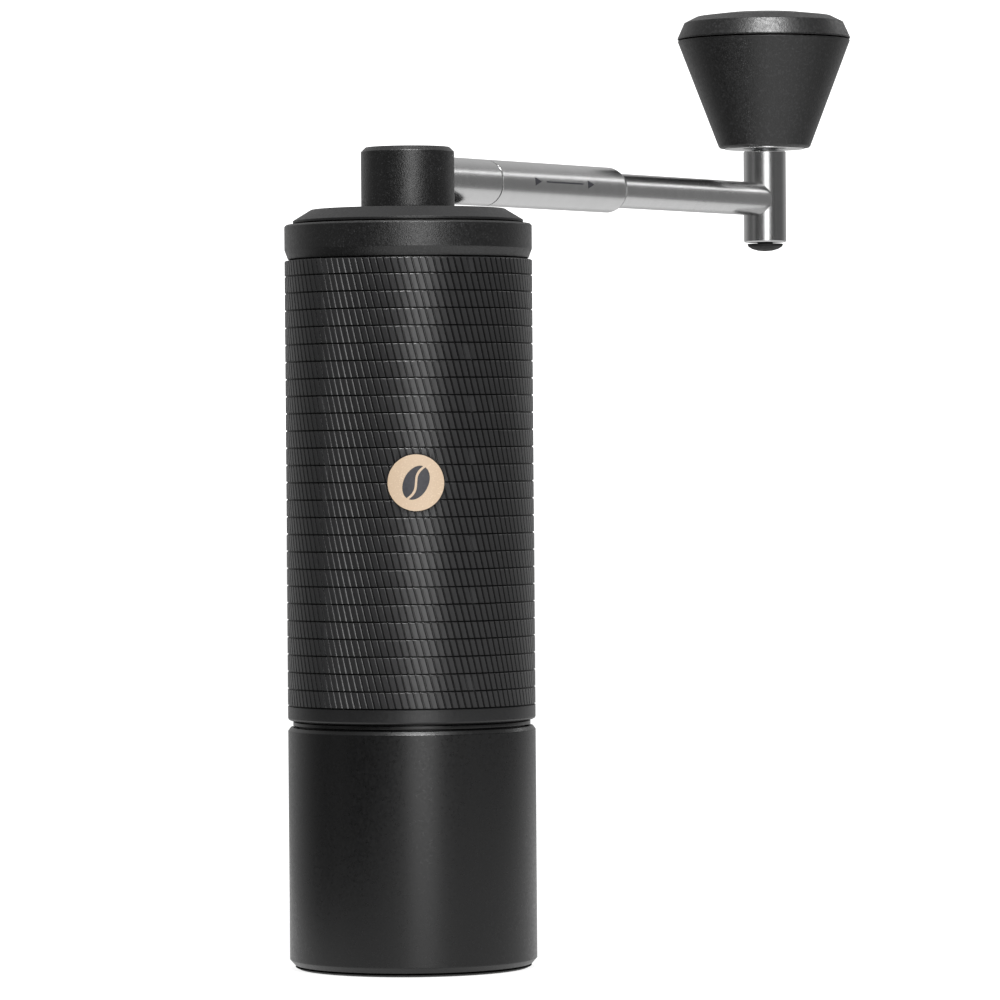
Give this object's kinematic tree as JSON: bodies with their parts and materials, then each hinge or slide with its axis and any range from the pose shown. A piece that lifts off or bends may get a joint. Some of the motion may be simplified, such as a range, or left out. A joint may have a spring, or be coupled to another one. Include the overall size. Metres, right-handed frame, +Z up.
{
  "type": "hand crank coffee grinder",
  "caption": "Slim cylindrical hand coffee grinder with a knurled barrel, screw-on catch cup, conical burrs and a folding side crank with a large conical knob.",
  "frame": {"origin": "centre of the underside of the rubber foot, where the grinder stands", "axes": "+Z up along the barrel, -Y out of the barrel through the badge, +X to the right as the badge is faced"},
  "size_m": [0.1365, 0.1668, 0.213],
  "materials": {
    "satin_black": "anodised, smooth satin",
    "coated_steel": "steel with a satin black coating",
    "knurled_black": "anodised, cross-cut knurl",
    "blasted_black": "bead-blasted and anodised, fine sparkle",
    "lid_grey": "fine matte anodised, dark grey",
    "brushed_steel": "brushed stainless steel",
    "machined_steel": "turned steel, bright",
    "burr_steel": "hardened steel, milled teeth",
    "liner_aluminium": "turned aluminium, clear anodised",
    "brass": "turned brass",
    "gold_satin": "champagne satin, engraved emblem",
    "black_rubber": "matte rubber",
    "knob_black": "fine grained black",
    "bush_plastic": "plain bearing plastic"
  },
  "bodies": {
    "cup": {"base_pad": "black_rubber", "catch_cup": "coated_steel"},
    "barrel": {"thread_collar": "satin_black", "outer_shell": "knurled_black", "badge": "gold_satin", "top_collar": "blasted_black", "hopper_liner": "liner_aluminium", "burr_carrier": "liner_aluminium", "outer_burr": "burr_steel", "upper_bridge": "liner_aluminium", "bridge_screw_1": "machined_steel", "bridge_screw_2": "machined_steel", "bridge_screw_3": "machined_steel", "upper_bearing_outer_race": "machined_steel", "lower_bearing_outer_race": "machined_steel"},
    "lid": {"lid": "lid_grey", "lid_gasket": "black_rubber", "lid_bush": "bush_plastic"},
    "crank": {"crank_hub": "blasted_black", "drive_socket": "machined_steel", "lid_retaining_ring": "machined_steel", "crank_stub": "brushed_steel"},
    "shaft": {"drive_shaft": "machined_steel", "shaft_sleeve": "machined_steel", "shaft_snap_ring": "machined_steel", "upper_bearing_inner_race": "machined_steel", "lower_bearing_inner_race": "machined_steel", "burr_spring": "machined_steel"},
    "burr": {"inner_burr": "burr_steel", "click_plate": "brass"},
    "dial": {"adjuster_dial": "blasted_black", "detent_ball_1": "machined_steel", "detent_ball_2": "machined_steel"},
    "arm": {"hinge_pin": "machined_steel", "crank_rod": "brushed_steel", "sleeve_spring": "machined_steel", "end_post": "brushed_steel", "post_bumper": "black_rubber", "knob_spindle": "machined_steel"},
    "sleeve": {"pull_sleeve": "brushed_steel", "sleeve_bush": "brass"},
    "knob": {"knob_body": "knob_black", "knob_cap": "knob_black", "knob_plate": "brushed_steel", "knob_bush_lower": "bush_plastic", "knob_bush_upper": "bush_plastic"}
  },
  "joints": [
    {"name": "body_lift", "type": "slide", "parent": "cup", "child": "barrel", "axis": [0, 0, 1], "range_m": [0, 0.065]},
    {"name": "lid_lift", "type": "slide", "parent": "barrel", "child": "lid", "axis": [0, 0, 1], "range_m": [0, 0.045]},
    {"name": "crank_turn", "type": "hinge", "parent": "lid", "child": "crank", "pos_m": [0, 0, 0.1689], "axis": [0, 0, 1], "continuous": true},
    {"name": "shaft_turn", "type": "hinge", "parent": "barrel", "child": "shaft", "pos_m": [0, 0, 0.1], "axis": [0, 0, 1], "continuous": true},
    {"name": "burr_shift", "type": "slide", "parent": "shaft", "child": "burr", "axis": [0, 0, 1], "range_m": [-0.0015, 0.00037], "deforming": ["burr_spring"]},
    {"name": "dial_turn", "type": "hinge", "parent": "burr", "child": "dial", "pos_m": [0, 0, 0.05], "axis": [0, 0, 1], "range_deg": [-180, 720]},
    {"name": "arm_fold", "type": "hinge", "parent": "crank", "child": "arm", "pos_m": [0.02366, 0.03163, 0.1689], "axis": [-0.8007, 0.599, 0], "range_deg": [0, 90]},
    {"name": "sleeve_pull", "type": "slide", "parent": "arm", "child": "sleeve", "axis": [0.599, 0.8007, 0], "range_m": [0, 0.0241], "deforming": ["sleeve_spring"]},
    {"name": "knob_spin", "type": "hinge", "parent": "arm", "child": "knob", "pos_m": [0.08985, 0.12011, 0.1689], "axis": [0, 0, 1], "continuous": true}
  ],
  "couplings": [
    {"joint": "shaft_turn", "follows": "crank_turn", "ratio": 1},
    {"joint": "dial_turn", "follows": "burr_shift", "rad_per_m": -8377.6},
    {"joint": "sleeve_pull", "follows": "arm_fold", "m_per_rad": 0.015279}
  ]
}
